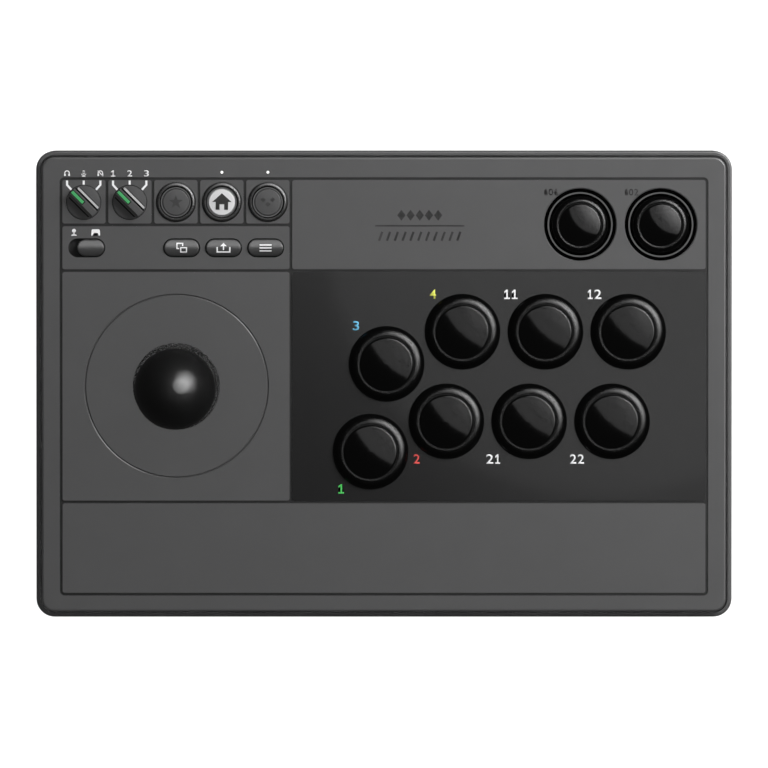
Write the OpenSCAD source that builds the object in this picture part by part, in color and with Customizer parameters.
// Desktop arcade stick controller: a wide case with a ball-top lever on the left, eight main buttons on a
// dark panel on the right, and a strip of small controls along the back.
// Origin at the middle of the footprint, under the rubber mat. +X right, +Y to the back, +Z up.

/* [Case] */
// Overall width of the case
case_w = 303; // [300:1:320]
// Overall depth of the case
case_d = 203; // [202:1:220]
// Radius of the case's upright corners
case_corner = 8; // [6.5:0.5:10]
// Height of the control panel above the table
panel_z = 52; // [52:1:60]
// Height of the lower case's rim
rim_z = 46.5; // [45:0.5:47]
// Width of the rim around the top shell
rim_w = 1.8; // [1.5:0.1:2.5]
// Gap between the rim and the top shell
rim_gap = 0.9; // [0.6:0.1:1]
// How far the case draws in towards its base
taper_inset = 4; // [3:0.5:5]
// Height above the table where the draw-in ends
taper_z = 22; // [20:1:24]
// Thickness of the rubber mat
mat_t = 2; // [1.5:0.5:2]
// Thickness of the steel base plate
base_t = 1.6; // [1.2:0.2:2]

/* [Panel] */
// Thickness of the top shell
shell_t = 3; // [3:0.5:4]
// Depth of the grooves and of the inlay's seat
groove_depth = 1; // [0.6:0.1:1]
// Width of the grooves between the panel's fields
groove_w = 1.2; // [0.8:0.1:1.4]
// Roundness of the top shell's upper edge
shell_edge = 0.9; // [0.5:0.1:1.2]

/* [Lever] */
// Diameter of the ball top
ball_d = 35; // [30:1:36]
// Height of the ball's middle above the panel
ball_rise = 42.5; // [38:0.5:45]
// Depth of the tilt pivot below the panel
pivot_depth = 20; // [19:0.5:20]
// Diameter of the dust washer
washer_d = 37.8; // [36:0.2:40]
// Diameter of the ring groove around the lever
ring_d = 79.6; // [70:1:84]
// Diameter of the panel's opening for the lever
lever_hole_d = 24; // [23:0.5:26]

/* [Buttons] */
// Diameter of a main button's rim
rim_d = 33; // [32:0.5:33.5]
// Height of a main button's rim
rim_h = 2.9; // [2:0.1:3.5]
// Diameter of a main button's plunger
plunger_d = 23.4; // [22:0.2:23.4]
// Height of a main button's plunger above the panel
plunger_rise = 5; // [4.5:0.1:6]
// Travel of a main button
plunger_travel = 3.2; // [2:0.1:3.2]
// Diameter of a recessed button's rim
aux_rim_d = 23.2; // [22:0.2:23.6]
// Diameter of a recessed button's plunger
aux_plunger_d = 18.4; // [17:0.2:18.4]

/* [Small controls] */
// Diameter of the round function caps
cap_d = 11.44; // [10:0.2:11.44]
// Length of the pill-shaped caps' openings
pill_l = 16.1; // [14:0.1:16.4]
// Width of the pill-shaped caps' openings
pill_w = 8.3; // [7:0.1:8.6]
// Length of the mode slider
slider_l = 12; // [11:0.1:12.2]
// Diameter of the selector knobs
knob_d = 14.7; // [13:0.1:15]

/* [Hidden] */

$fn = 96;
eps = 0.01;

// Colours
case_grey = "#5a5a5c";
panel_grey = "#3c3c3e";
cap_grey = "#4a4a4c";
switch_black = "#26262a";
gloss_black = "#101012";
board_green = "#1f5a38";
steel = "#a9adb2";

// Case
base_z = mat_t + base_t;
shell_w = case_w - 2 * (rim_w + rim_gap);
shell_d = case_d - 2 * (rim_w + rim_gap);
shell_corner = case_corner - rim_w - rim_gap;
under_z = panel_z - shell_t;
ledge_z = 40;
skirt_t = 2.4;
cavity_w = case_w - 12;
cavity_d = case_d - 12;
cavity_corner = 4;
boss_r = 4;
boss_h = 14;
screw_r = 1.5;
pilot_r = 1.2;
screw_head_r = 3;
base_screw_x = [-128, 0, 128];
base_screw_y = [-88, 88];

// Panel fields: [left, front, right, back], between the middles of the grooves
field_left = -140.5;
field_right = 140.5;
field_front = -91.4;
field_back = 89.5;
split_x = -40.5;
rest_y = -51.2;
strip_y = 49.5;
cell_y = 69.4;
cell_pitch = (split_x - field_left) / 5;
field_corner = 1;
inlay_field = [split_x, rest_y, field_right, strip_y];
cell_fields = [for (i = [0:4])
    [field_left + i * cell_pitch, cell_y, field_left + (i + 1) * cell_pitch, field_back]];
plain_fields = [
    [field_left, field_front, field_right, rest_y],
    [field_left, rest_y, split_x, strip_y],
    [field_left, strip_y, split_x, cell_y],
    [split_x, strip_y, field_right, field_back]
];

// Lever
lever_x = -90.3;
lever_y = -0.8;
pivot_z = panel_z - pivot_depth;
ball_z = panel_z + ball_rise;
shaft_r = 4;
cover_r = 5;
run_gap = 0.04;
lever_low_z = pivot_z - 21.4;
plate_z = under_z - 3.6;
plate_t = 1.6;
housing_w = 56;
housing_wall = 5;
hub_r = 10.5;
hub_h = 10;
ring_r = 20.5;
ring_bore_r = 14;
ring_h = 8;
pin_r = 2.5;
trunnion_reach = ring_r + 6.5;
board_z = pivot_z - 15.6;
board_t = 1.6;
gate_t = 2;
gate_half = 9.75;
washer_t = 1.2;
ring_groove_t = 0.5;
washer_bore_r = 5.7;
under_washer_r = 17;
screw_plate_x = 42;
screw_plate_y = 20;
housing_screw_x = 25;
housing_screw_y = 23;
mount_hole_r = 15;

// Buttons
main_buttons = [
    [1.1, 8.9], [34.1, 22.9], [70.2, 22.9], [106.2, 22.9],
    [-5.9, -29.3], [27.1, -16.1], [63.1, -16.1], [99.2, -16.1]
];
aux_buttons = [[85.3, 69.5], [120.4, 69.5]];
barrel_r = 14.8;
barrel_hole_r = 15;
bore_gap = 0.35;
barrel_low_z = panel_z - 26;
switch_l = 20;
switch_w = 6.4;
switch_h = 10.2;
terminal_pitch = 7.5;
terminal_l = 3;
stem_r = 2.5;
stem_hole_r = 3;
floor_t = 2;
aux_hole_r = 15.7;
aux_chamfer = 0.4;
aux_dish_r = 17.3;
aux_dish_t = 2;
aux_barrel_r = 10.8;
aux_rim_h = 0.5;
aux_rise = 2.6;
aux_travel = 2.4;
trim_out_r = 14.15;
trim_in_r = 13.5;

// Small controls
knob_y = 79.2;
knob_x = [-130.6, -110.6];
round_y = 79.3;
round_x = [-90.5, -70.5, -50.5];
pill_y = 59.4;
pill_x = [-88, -69.8, -51.5];
slot_x = -129.3;
cap_gap = 0.3;
cap_rise = 1.5;
home_rise = 1.7;
cap_travel = 1;
collar_r = 8.6;
collar_h = 1.1;
collar_round = 1.2;
collar_groove_r = 6.85;
collar_groove_w = 0.35;
function_board_z = panel_z - 11;
function_board_x = -90;
function_board_y = 69.5;
function_post_x = [-136, -99, -43];
function_post_y = [51.6, 86];
control_post_x = [-26, 26];
control_post_y = [64, 86];
tact_h = 3.4;
led_r = 0.6;
led_y = 92.3;
spindle_r = 2.8;
spindle_hole_r = 3.2;
knob_seat_t = 1.6;
knob_disc_t = 1.35;
grip_h = 5.2;
grip_foot = 3.2;
grip_low = 2.1;
grip_top = 1.6;
grip_low_z = 1.1;
flange_z = under_z - 1.2;
flange_w = 1.4;
apron_l = 20;
apron_w = 9.6;
function_top_z = function_board_z + board_t;

// Connectors
usb_w = 13;
usb_h = 9;
usb_z = 30.5;
usb_depth = 7;
usb_shell_w = 8.94;
usb_shell_h = 3.2;
usb_wall = 0.3;
usb_shell_l = 7.4;
pair_x = 11.7;
pair_r = 1.5;
jack_y = 40;
jack_z = 31;
jack_r = 1.8;
jack_depth = 14;

// ---------- Shared shapes ----------

// A flat rounded rectangle
module rounded_rect(w, d, r) {
    square([w - 2 * r, d], center = true);
    square([w, d - 2 * r], center = true);
    for (x = [-1, 1], y = [-1, 1])
        translate([x * (w / 2 - r), y * (d / 2 - r)])
            circle(r);
}

module plate(w, d, r, z, t) {
    translate([0, 0, z])
        linear_extrude(t)
            rounded_rect(w, d, r);
}

// A block with round upright corners whose side follows the children's profile:
// x runs from the corner's centre to the outer face, y is the height
module profiled_block(w, d, r, z, t) {
    for (x = [-1, 1], y = [-1, 1])
        translate([x * (w / 2 - r), y * (d / 2 - r), 0])
            rotate_extrude()
                children();
    for (side = [0, 1])
        mirror([side, 0, 0])
            translate([w / 2 - r, d / 2 - r, 0])
                rotate([90, 0, 0])
                    linear_extrude(d - 2 * r)
                        children();
    for (side = [0, 1])
        mirror([0, side, 0])
            rotate([0, 0, 90])
                translate([d / 2 - r, w / 2 - r, 0])
                    rotate([90, 0, 0])
                        linear_extrude(w - 2 * r)
                            children();
    translate([0, 0, z + t / 2])
        cube([w - 2 * r, d - 2 * r, t], center = true);
}

// Side profile with a rounded upper edge
module edge_profile(r, z, t, edge) {
    translate([0, z])
        square([r, t - edge]);
    translate([0, z])
        square([r - edge, t]);
    translate([r - edge, z + t - edge])
        circle(edge);
}

module soft_block(w, d, r, z, t, edge) {
    profiled_block(w, d, r, z, t)
        edge_profile(r, z, t, edge);
}

module rod(r, z0, z1) {
    translate([0, 0, z0])
        cylinder(r = r, h = z1 - z0);
}

module tube(r_out, r_in, z0, z1) {
    difference() {
        rod(r_out, z0, z1);
        rod(r_in, z0 - 1, z1 + 1);
    }
}

// A stadium-shaped bar, long in X
module stadium(l, w) {
    square([l - w, w], center = true);
    for (x = [-1, 1])
        translate([x * (l - w) / 2, 0])
            circle(d = w);
}

// A stadium-shaped cap with a rounded upper edge
module stadium_cap(l, w, z0, z1, edge) {
    for (x = [-1, 1])
        translate([x * (l - w) / 2, 0, 0])
            rotate_extrude()
                edge_profile(w / 2, z0, z1 - z0, edge);
    for (side = [0, 1])
        mirror([0, side, 0])
            rotate([0, 0, 90])
                translate([0, (l - w) / 2, 0])
                    rotate([90, 0, 0])
                        linear_extrude(l - w)
                            edge_profile(w / 2, z0, z1 - z0, edge);
}

// Upper part of a round cap: domed by dome_r, with a rounded edge
module domed_cap(r, z0, z1, edge, dome_r) {
    drop = dome_r - sqrt(dome_r * dome_r - (r - edge) * (r - edge));
    rotate_extrude()
        intersection() {
            translate([0, z1 - dome_r])
                circle(dome_r, $fn = 360);
            union() {
                translate([0, z0])
                    square([r, z1 - drop - edge - z0]);
                translate([0, z0])
                    square([r - edge, z1 - z0]);
                translate([r - edge, z1 - drop - edge])
                    circle(edge);
            }
        }
}

// The rounded ring around a button, from inner radius r_in to outer radius r_out
module button_rim(r_in, r_out, z, h) {
    crest = r_in + 0.5;
    reach = r_out - crest;
    round_r = (reach * reach + h * h) / (2 * h);
    rotate_extrude()
        intersection() {
            translate([crest, z + h - round_r])
                circle(round_r);
            translate([r_in, z])
                square([r_out - r_in + 1, h + 1]);
        }
}

module micro_switch(z_top) {
    translate([0, 0, z_top - switch_h / 2])
        cube([switch_l, switch_w, switch_h], center = true);
    for (x = [-1, 0, 1])
        translate([x * terminal_pitch, 0, z_top - switch_h - terminal_l / 2])
            cube([0.6, 3.2, terminal_l], center = true);
}

module at_lever() {
    translate([lever_x, lever_y, 0])
        children();
}

module at_each(points) {
    for (p = points)
        translate([p[0], p[1], 0])
            children();
}

module field_plate(field, z, t, grow) {
    translate([(field[0] + field[2]) / 2, (field[1] + field[3]) / 2, 0])
        plate(field[2] - field[0] - groove_w + 2 * grow, field[3] - field[1] - groove_w + 2 * grow,
              field_corner + grow, z, t);
}

// ---------- Case ----------

module base_mat() {
    color("#1c1c1d")
        difference() {
            plate(case_w - 18, case_d - 18, 6, 0, mat_t);
            for (x = base_screw_x, y = base_screw_y)
                translate([x, y, 0])
                    rod(screw_head_r + 1, -1, mat_t + 1);
        }
}

module base_plate() {
    color(steel)
        difference() {
            plate(case_w - 10, case_d - 10, 5, mat_t, base_t);
            for (x = base_screw_x, y = base_screw_y)
                translate([x, y, 0])
                    rod(screw_r + 0.2, 0, base_z + 1);
        }
}

// Outer side of the lower case: draws in below taper_z and has a rounded rim
module lower_case_side() {
    polygon([[0, base_z], [case_corner - taper_inset, base_z], [case_corner, taper_z],
             [case_corner, rim_z - rim_w / 2], [0, rim_z - rim_w / 2]]);
    translate([0, taper_z])
        square([case_corner - rim_w / 2, rim_z - taper_z]);
    translate([case_corner - rim_w / 2, rim_z - rim_w / 2])
        circle(rim_w / 2);
}

module usb_pocket(w, h, y0, y1) {
    translate([0, y1, usb_z])
        rotate([90, 0, 0])
            linear_extrude(y1 - y0)
                stadium(w, h);
}

module lower_case() {
    back = case_d / 2;
    color(case_grey)
        difference() {
            union() {
                difference() {
                    profiled_block(case_w, case_d, case_corner, base_z, rim_z - base_z)
                        lower_case_side();
                    plate(case_w - 2 * rim_w, case_d - 2 * rim_w, case_corner - rim_w, ledge_z, 20);
                    plate(cavity_w, cavity_d, cavity_corner, base_z - 1, ledge_z);
                    plate(case_w - 6, case_d - 6, case_corner - 3, taper_z + 2, ledge_z - taper_z - 5);
                }
                for (x = base_screw_x, y = base_screw_y)
                    translate([x, y, 0]) {
                        rod(boss_r, base_z, base_z + boss_h);
                        translate([-1, y > 0 ? 0 : -9, base_z])
                            cube([2, 9, boss_h]);
                    }
                usb_pocket(usb_w + 4, usb_h + 4, back - usb_depth - 2, back - 2);
            }
            for (x = base_screw_x, y = base_screw_y)
                translate([x, y, 0])
                    rod(pilot_r, base_z - 1, base_z + boss_h - 2);
            usb_pocket(usb_w, usb_h, back - usb_depth, back + 1);
            usb_pocket(usb_shell_w + 0.2, usb_shell_h + 0.2, back - usb_depth - 4, back);
            translate([pair_x, back, usb_z])
                rotate([90, 0, 0])
                    rod(pair_r + cap_gap, -1, 10);
            translate([-case_w / 2, jack_y, jack_z])
                rotate([0, 90, 0])
                    rod(3.1, -1, 10);
        }
}

module lever_hole() {
    at_lever()
        rod(lever_hole_d / 2, 0, panel_z + 1);
}

module top_shell() {
    color(case_grey)
        difference() {
            union() {
                difference() {
                    soft_block(shell_w, shell_d, shell_corner, ledge_z, panel_z - ledge_z, shell_edge);
                    plate(shell_w - 2 * skirt_t, shell_d - 2 * skirt_t, shell_corner - skirt_t,
                          ledge_z - 1, under_z - ledge_z + 1);
                    translate([0, (field_front + field_back) / 2, 0])
                        plate(field_right - field_left + groove_w, field_back - field_front + groove_w,
                              field_corner + groove_w, panel_z - groove_depth, 5);
                }
                for (field = concat(plain_fields, cell_fields))
                    field_plate(field, panel_z - groove_depth - 0.5, groove_depth + 0.5, 0);
                for (x = round_x)
                    translate([x, round_y, 0])
                        button_collar();
                shell_posts();
            }
            lever_hole();
            ring_groove();
            at_each(main_buttons)
                rod(barrel_hole_r, under_z - 1, panel_z + 1);
            at_each(aux_buttons) {
                rod(aux_hole_r, under_z - 1, panel_z + 1);
                translate([0, 0, panel_z - aux_chamfer])
                    cylinder(r1 = aux_hole_r, r2 = aux_hole_r + 2 * aux_chamfer, h = 2 * aux_chamfer);
            }
            for (x = round_x)
                translate([x, round_y, 0])
                    rod(cap_d / 2 + cap_gap, under_z - 1, panel_z + 5);
            for (x = concat(pill_x, [slot_x]))
                translate([x, pill_y, under_z - 1])
                    linear_extrude(shell_t + 2)
                        stadium(pill_l, pill_w);
            for (x = knob_x)
                translate([x, knob_y, 0]) {
                    rod(knob_d / 2 + cap_gap, panel_z - knob_seat_t, panel_z + 1);
                    rod(spindle_hole_r, under_z - 1, panel_z);
                }
            for (x = [round_x[1], round_x[2]])
                translate([x, led_y, 0])
                    rod(led_r, under_z - 1, panel_z + 1);
            at_lever()
                for (x = [-1, 1], y = [-1, 1])
                    translate([x * screw_plate_x, y * screw_plate_y, 0])
                        rod(pilot_r, plate_z - 1, under_z);
            for (p = shell_post_points())
                translate([p[0], p[1], 0])
                    rod(pilot_r, p[2] - 1, under_z);
        }
}

// Fine V-shaped groove around the lever
module ring_groove() {
    at_lever()
        rotate_extrude($fn = 240)
            polygon([[ring_d / 2, panel_z - ring_groove_t],
                     [ring_d / 2 + ring_groove_t + eps, panel_z + eps],
                     [ring_d / 2 - ring_groove_t - eps, panel_z + eps]]);
}

// Convex collar around a round function cap, with a fine groove near its inner edge
module button_collar() {
    lip = collar_r - collar_round;
    rotate_extrude()
        difference() {
            union() {
                translate([cap_d / 2, panel_z - 0.5])
                    square([lip - cap_d / 2, collar_h + 0.5]);
                intersection() {
                    translate([lip, panel_z + collar_h - collar_round])
                        circle(collar_round);
                    translate([lip - collar_round, panel_z - 0.5])
                        square([2 * collar_round, 3]);
                }
            }
            translate([collar_groove_r, panel_z + collar_h - 0.5])
                square([collar_groove_w, 1]);
        }
}

// Posts under the shell: [x, y, lowest z]
function shell_post_points() = concat(
    [for (x = function_post_x, y = function_post_y) [x, y, function_board_z + board_t]],
    [for (x = control_post_x, y = control_post_y) [x, y, usb_z - usb_shell_h / 2]]
);

module shell_posts() {
    for (p = shell_post_points())
        translate([p[0], p[1], 0])
            rod(2.6, p[2], under_z + 1);
    at_lever()
        for (x = [-1, 1], y = [-1, 1])
            translate([x * screw_plate_x, y * screw_plate_y, 0])
                rod(3.4, plate_z + plate_t, under_z + 1);
}

module panel_inlay() {
    color(panel_grey)
        difference() {
            field_plate(inlay_field, panel_z - groove_depth, groove_depth, 0);
            at_each(main_buttons)
                rod(barrel_hole_r, under_z - 1, panel_z + 1);
        }
}

// ---------- Lever ----------

module mount_plate() {
    color(steel)
        at_lever()
            difference() {
                plate(96, 54, 3, plate_z, plate_t);
                rod(mount_hole_r, plate_z - 1, plate_z + 3);
                for (x = [-1, 1], y = [-1, 1])
                    translate([x * screw_plate_x, y * screw_plate_y, 0])
                        rod(screw_r + 0.2, plate_z - 1, plate_z + 3);
                for (x = [-1, 1], y = [-1, 1])
                    translate([x * housing_screw_x, y * housing_screw_y, 0])
                        rod(pilot_r, plate_z - 1, plate_z + 3);
            }
}

module lever_housing() {
    low = board_z + board_t;
    inner = housing_w - 2 * housing_wall;
    color(gloss_black)
        at_lever()
            difference() {
                plate(housing_w, housing_w, 4, low, plate_z - low);
                plate(inner, inner, 4, low - 1, plate_z - low + 2);
                translate([0, 0, pivot_z])
                    rotate([0, 90, 0])
                        rod(pin_r + run_gap, -housing_w, housing_w);
                for (x = [-1, 1], y = [-1, 1])
                    translate([x * housing_screw_x, y * housing_screw_y, 0])
                        rod(pilot_r, plate_z - 10, plate_z + 3);
            }
}

module gimbal_ring() {
    color("#d8d8d4")
        at_lever()
            translate([0, 0, pivot_z])
                difference() {
                    union() {
                        rod(ring_r, -ring_h / 2, ring_h / 2);
                        rotate([0, 90, 0])
                            rod(pin_r, -trunnion_reach, trunnion_reach);
                    }
                    rod(ring_bore_r, -ring_h, ring_h);
                    rotate([90, 0, 0])
                        rod(pin_r + run_gap, -ring_r - 1, ring_r + 1);
                }
}

module pivot_hub() {
    color("#e4e2dc")
        at_lever()
            translate([0, 0, pivot_z])
                difference() {
                    union() {
                        rod(hub_r, -hub_h / 2, hub_h / 2);
                        rotate([90, 0, 0])
                            rod(pin_r, -ring_r + 0.3, ring_r - 0.3);
                    }
                    rod(shaft_r + run_gap, -hub_h, hub_h);
                }
}

module lever_shaft() {
    color(steel)
        at_lever()
            difference() {
                rod(shaft_r, lever_low_z, ball_z + 8);
                tube(shaft_r + 1, shaft_r - 0.8, lever_low_z + 1, lever_low_z + 1.8);
            }
}

module shaft_cover() {
    color(gloss_black)
        at_lever()
            tube(cover_r, shaft_r + 0.02, pivot_z + hub_h / 2 + 0.3, ball_z - 15);
}

module ball_top() {
    ball_r = ball_d / 2;
    color(gloss_black)
        at_lever()
            difference() {
                translate([0, 0, ball_z])
                    sphere(ball_r, $fn = 160);
                rod(ball_r, ball_z - ball_d, ball_z - 15);
                rod(shaft_r + 0.02, ball_z - ball_d, ball_z + 8);
            }
}

module actuator() {
    step_z = board_z + board_t + 0.6;
    color("#e4e2dc")
        at_lever()
            difference() {
                union() {
                    rod(6.5, lever_low_z + 1.8, step_z);
                    rod(9, step_z, pivot_z - 8);
                }
                rod(shaft_r + 0.02, 0, pivot_z);
            }
}

module e_clip() {
    color(steel)
        at_lever()
            difference() {
                tube(5.6, shaft_r - 0.78, lever_low_z + 1.02, lever_low_z + 1.78);
                translate([0, -2.6, lever_low_z])
                    cube([10, 5.2, 3]);
            }
}

// Points of a round wire swept along a helix with closed flat ends
function coil_point(turn, coil_r, pitch) =
    [coil_r * cos(360 * turn), coil_r * sin(360 * turn), pitch * turn];
function wire_ring(turn, coil_r, wire_r, pitch, sides) =
    let (c = coil_point(turn, coil_r, pitch), out = [cos(360 * turn), sin(360 * turn), 0])
    [for (k = [0:sides - 1]) c + wire_r * (cos(360 * k / sides) * out + sin(360 * k / sides) * [0, 0, 1])];

module coil_spring(coil_r, wire_r, height, turns) {
    steps = 20;
    sides = 8;
    rings = steps * turns;
    pitch = (height - 2 * wire_r) / turns;
    points = [for (i = [0:rings]) each wire_ring(i / steps, coil_r, wire_r, pitch, sides)];
    walls = [for (i = [0:rings - 1], k = [0:sides - 1])
        let (a = i * sides + k, b = i * sides + (k + 1) % sides)
        [a, a + sides, b + sides, b]];
    first = [for (k = [0:sides - 1]) k];
    last = [for (k = [sides - 1:-1:0]) rings * sides + k];
    translate([0, 0, wire_r])
        polyhedron(points, concat([first, last], walls));
}

module lever_spring() {
    low = pivot_z + hub_h / 2 + 0.1;
    color(steel)
        at_lever()
            translate([0, 0, low])
                coil_spring(8.6, 0.55, plate_z - 0.1 - low, 4);
}

module restrictor_gate() {
    low = board_z - gate_t;
    color("#c9c6bd")
        at_lever()
            difference() {
                plate(housing_w, housing_w, 4, low, gate_t);
                plate(2 * gate_half, 2 * gate_half, 2, low - 1, gate_t + 2);
                for (x = [-1, 1], y = [-1, 1])
                    translate([x * housing_screw_x, y * housing_screw_y, 0])
                        rod(screw_r, low - 1, low + 4);
            }
}

module lever_switch_board() {
    color(board_green)
        at_lever()
            difference() {
                plate(housing_w, housing_w, 4, board_z, board_t);
                rod(11.6, board_z - 1, board_z + 4);
                for (x = [-1, 1], y = [-1, 1])
                    translate([x * housing_screw_x, y * housing_screw_y, 0])
                        rod(screw_r, board_z - 1, board_z + 4);
            }
}

module lever_switches() {
    color(switch_black)
        at_lever()
            for (turn = [0:3])
                rotate([0, 0, 90 * turn])
                    translate([12.3, -switch_l / 2 + 4, board_z + board_t])
                        difference() {
                            cube([switch_h, switch_l - 4, switch_w]);
                            for (y = [3, 13])
                                translate([switch_h - 2, y, -1])
                                    cylinder(r = 1, h = switch_w + 2);
                        }
}

module dust_washer() {
    color("#17171a")
        at_lever()
            difference() {
                rotate_extrude() {
                    translate([0, panel_z + 0.1])
                        square([washer_d / 2 - washer_t / 2, washer_t]);
                    translate([washer_d / 2 - washer_t / 2, panel_z + 0.1 + washer_t / 2])
                        circle(washer_t / 2);
                }
                rod(washer_bore_r, panel_z - 1, panel_z + 3);
            }
}

module under_washer() {
    low = plate_z + plate_t + 0.4;
    color("#17171a")
        at_lever()
            difference() {
                rod(under_washer_r, low, low + 1.2);
                translate([0, 0, low - 1])
                    linear_extrude(4)
                        stadium(2 * (washer_bore_r + 3.6), 2 * (washer_bore_r + 0.9));
            }
}

// ---------- Buttons ----------

module button_housing() {
    bore_r = plunger_d / 2 + bore_gap;
    color(gloss_black) {
        difference() {
            union() {
                button_rim(bore_r, rim_d / 2, panel_z, rim_h);
                rod(barrel_r, barrel_low_z, panel_z + 0.5);
                for (side = [0, 180])
                    rotate([0, 0, side])
                        translate([barrel_r - 2, -4, under_z - 6])
                            cube([3, 8, 5.7]);
            }
            rod(bore_r, panel_z - 14, panel_z + rim_h + 1);
            rod(barrel_r - 4, barrel_low_z + floor_t, panel_z);
            rod(stem_hole_r, barrel_low_z - 1, panel_z);
        }
    }
}

module button_plunger() {
    top = panel_z + plunger_rise;
    color(gloss_black) {
        difference() {
            domed_cap(plunger_d / 2, panel_z - 8, top, 0.9, 150);
            rod(plunger_d / 2 - 2, panel_z - 9, top - 3);
        }
        rod(stem_r, barrel_low_z + plunger_travel + 0.3, top - 2);
    }
}

module aux_housing() {
    bore_r = aux_plunger_d / 2 + bore_gap;
    color(gloss_black)
        difference() {
            union() {
                button_rim(bore_r, aux_rim_d / 2, under_z + eps, shell_t + aux_rim_h - eps);
                rod(aux_barrel_r, barrel_low_z, under_z + 0.5);
                rod(aux_rim_d / 2, under_z, under_z + 1);
            }
            rod(bore_r, panel_z - 13, panel_z + 2);
            rod(aux_barrel_r - 3, barrel_low_z + floor_t, panel_z);
            rod(stem_hole_r, barrel_low_z - 1, panel_z);
        }
}

module aux_plunger() {
    top = panel_z + aux_rise;
    color(gloss_black) {
        difference() {
            domed_cap(aux_plunger_d / 2, panel_z - 9, top, 0.8, 90);
            rod(aux_plunger_d / 2 - 1.8, panel_z - 10, top - 2.6);
        }
        rod(stem_r, barrel_low_z + aux_travel + 0.3, top - 2);
    }
}

// Sunken black dish with a fine upright ring around each recessed button
module aux_dishes() {
    color("#141416")
        at_each(aux_buttons) {
            tube(aux_dish_r, aux_barrel_r + 0.1, under_z - aux_dish_t, under_z);
            tube(trim_out_r, trim_in_r, under_z - 0.5, panel_z);
        }
}

module button_switches() {
    color(switch_black) {
        at_each(main_buttons)
            micro_switch(barrel_low_z);
        at_each(aux_buttons)
            micro_switch(barrel_low_z);
    }
}

// ---------- Small controls ----------

// A selector knob: a disc flush with the panel and a raised grip bar, pointing to the back left
module selector_knob() {
    disc_r = knob_d / 2;
    disc_z = panel_z + 0.05;
    color(case_grey) {
        rod(disc_r, disc_z - knob_disc_t, disc_z);
        rod(spindle_r, function_top_z + 1.4, panel_z - 1);
        intersection() {
            rod(disc_r, panel_z - 0.5, panel_z + grip_h);
            rotate([0, 0, -45])
                rotate([90, 0, 90])
                    translate([0, panel_z, -disc_r])
                        linear_extrude(knob_d)
                            polygon([[-grip_foot, -0.3], [grip_foot, -0.3], [grip_foot, 0.05],
                                     [grip_low, grip_low_z], [grip_top, grip_h],
                                     [-grip_top, grip_h], [-grip_low, grip_low_z], [-grip_foot, 0.05]]);
        }
    }
}

// Stem that reaches down to a cap's switch
module cap_stem() {
    rod(2, function_top_z + tact_h + cap_travel + 0.1, flange_z);
}

module round_cap(rise) {
    color(case_grey) {
        domed_cap(cap_d / 2, flange_z, panel_z + rise, 0.35, 80);
        rod(cap_d / 2 + flange_w, flange_z - 0.4, flange_z + 1);
        cap_stem();
    }
}

module pill_cap() {
    color(cap_grey) {
        stadium_cap(pill_l - 2 * cap_gap, pill_w - 2 * cap_gap, flange_z, panel_z + cap_rise - 0.3, 1.6);
        translate([0, 0, flange_z - 0.4])
            linear_extrude(1.4)
                stadium(pill_l + flange_w, pill_w + flange_w);
        cap_stem();
    }
}

module mode_slider() {
    apron_z = under_z - 1.3;
    rest_x = slot_x + (pill_l - slider_l) / 2 - cap_gap;
    color(cap_grey)
        translate([rest_x, pill_y, 0]) {
            stadium_cap(slider_l, pill_w - 2 * cap_gap, apron_z, panel_z + 1.1, 1.6);
            translate([0, 0, apron_z])
                linear_extrude(1)
                    square([apron_l, apron_w], center = true);
            translate([0, 0, function_top_z + 3.6])
                linear_extrude(3)
                    square([2, 2], center = true);
        }
}

module function_board() {
    color(board_green)
        difference() {
            translate([function_board_x, function_board_y, 0])
                plate(98, 40, 2, function_board_z, board_t);
            for (x = function_post_x, y = function_post_y)
                translate([x, y, 0])
                    rod(screw_r, function_board_z - 1, function_board_z + 3);
        }
}

module function_switches() {
    low = function_top_z;
    color(switch_black) {
        for (x = round_x)
            translate([x, round_y, low + tact_h / 2])
                cube([6, 6, tact_h], center = true);
        for (x = pill_x)
            translate([x, pill_y, low + tact_h / 2])
                cube([6, 6, tact_h], center = true);
        for (x = knob_x)
            translate([x, knob_y, 0])
                tube(5.5, spindle_r + run_gap, low, low + 5);
        translate([slot_x, pill_y, low + 1.7])
            cube([12, 5, 3.4], center = true);
    }
}

// ---------- Electronics ----------

module control_board() {
    color(board_green)
        difference() {
            translate([0, 76, 0])
                plate(64, 30, 2, usb_z - usb_shell_h / 2 - board_t, board_t);
            for (x = control_post_x, y = control_post_y)
                translate([x, y, 0])
                    rod(screw_r, usb_z - 6, usb_z);
        }
}

module battery() {
    color("#8c9aa8")
        translate([-20, -66, 0])
            plate(62, 30, 1.5, base_z, 6);
}

// Metal shell of the socket with its tongue, lying on the control board
module usb_port() {
    color("#c4c6c8")
        translate([0, case_d / 2 - usb_depth - 0.2, usb_z])
            rotate([90, 0, 0]) {
                difference() {
                    linear_extrude(usb_shell_l)
                        stadium(usb_shell_w, usb_shell_h);
                    translate([0, 0, -1])
                        linear_extrude(usb_shell_l)
                            stadium(usb_shell_w - 2 * usb_wall, usb_shell_h - 2 * usb_wall);
                }
                translate([-3.3, -0.35, 0.8])
                    cube([6.6, 0.7, usb_shell_l - 1]);
            }
}

module pair_button() {
    back = case_d / 2;
    color("#9a9a9c")
        translate([pair_x, back - 0.6, usb_z])
            rotate([90, 0, 0]) {
                rod(pair_r, 0, 4.8);
                rod(pair_r + 1, 3.4, 4.8);
            }
}

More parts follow.
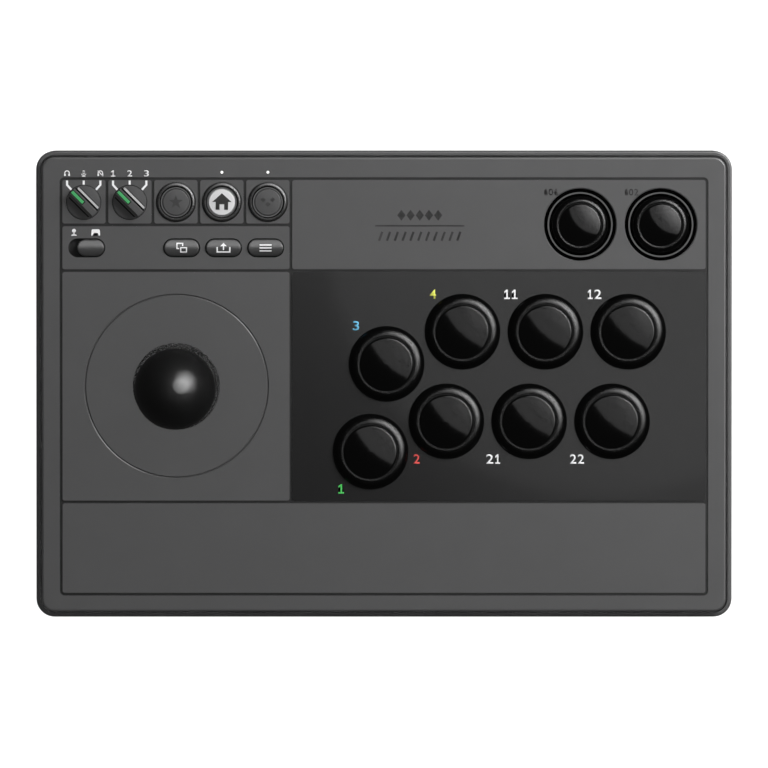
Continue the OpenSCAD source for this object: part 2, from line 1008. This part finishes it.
module headset_jack() {
    left = -case_w / 2;
    color("#222225")
        translate([left, jack_y, jack_z])
            rotate([0, 90, 0])
                difference() {
                    union() {
                        rod(3, 0.3, 4);
                        translate([0, 0, 10])
                            cube([6.4, 7, 13], center = true);
                    }
                    rod(jack_r, 0, jack_depth + 0.3);
                }
}

module light_pipes() {
    color("#f2f2ee")
        for (x = [round_x[1], round_x[2]])
            translate([x, led_y, 0])
                rod(led_r - 0.02, under_z - 3, panel_z);
}

module screw(length) {
    rod(screw_head_r, -1.5, 0);
    rod(pilot_r, 0, length);
}

module screws() {
    color(steel) {
        for (x = base_screw_x, y = base_screw_y)
            translate([x, y, mat_t])
                screw(10);
        at_lever()
            for (x = [-1, 1], y = [-1, 1])
                translate([x * screw_plate_x, y * screw_plate_y, plate_z])
                    screw(3.4);
        for (p = shell_post_points())
            translate([p[0], p[1], p[2] - board_t])
                screw(6);
    }
}

// ---------- Output ----------

base_mat();
base_plate();
lower_case();
top_shell();
panel_inlay();
mount_plate();
lever_housing();
lever_spring();
restrictor_gate();
lever_switch_board();
lever_switches();
gimbal_ring();
pivot_hub();
lever_shaft();
shaft_cover();
ball_top();
actuator();
e_clip();
under_washer();
dust_washer();
for (i = [0:7])
    at_each([main_buttons[i]]) button_housing();
for (i = [0:7])
    at_each([main_buttons[i]]) button_plunger();
for (i = [0:1])
    at_each([aux_buttons[i]]) aux_housing();
for (i = [0:1])
    at_each([aux_buttons[i]]) aux_plunger();
aux_dishes();
button_switches();
at_each([[knob_x[0], knob_y]]) selector_knob();  // knob_1
at_each([[knob_x[1], knob_y]]) selector_knob();  // knob_2
at_each([[round_x[0], round_y]]) round_cap(cap_rise);  // turbo_cap
at_each([[round_x[1], round_y]]) round_cap(home_rise);  // home_cap
at_each([[round_x[2], round_y]]) round_cap(cap_rise);  // profile_cap
at_each([[pill_x[0], pill_y]]) pill_cap();  // view_cap
at_each([[pill_x[1], pill_y]]) pill_cap();  // share_cap
at_each([[pill_x[2], pill_y]]) pill_cap();  // menu_cap
mode_slider();
function_board();
function_switches();
control_board();
battery();
usb_port();
pair_button();
headset_jack();
light_pipes();
screws();
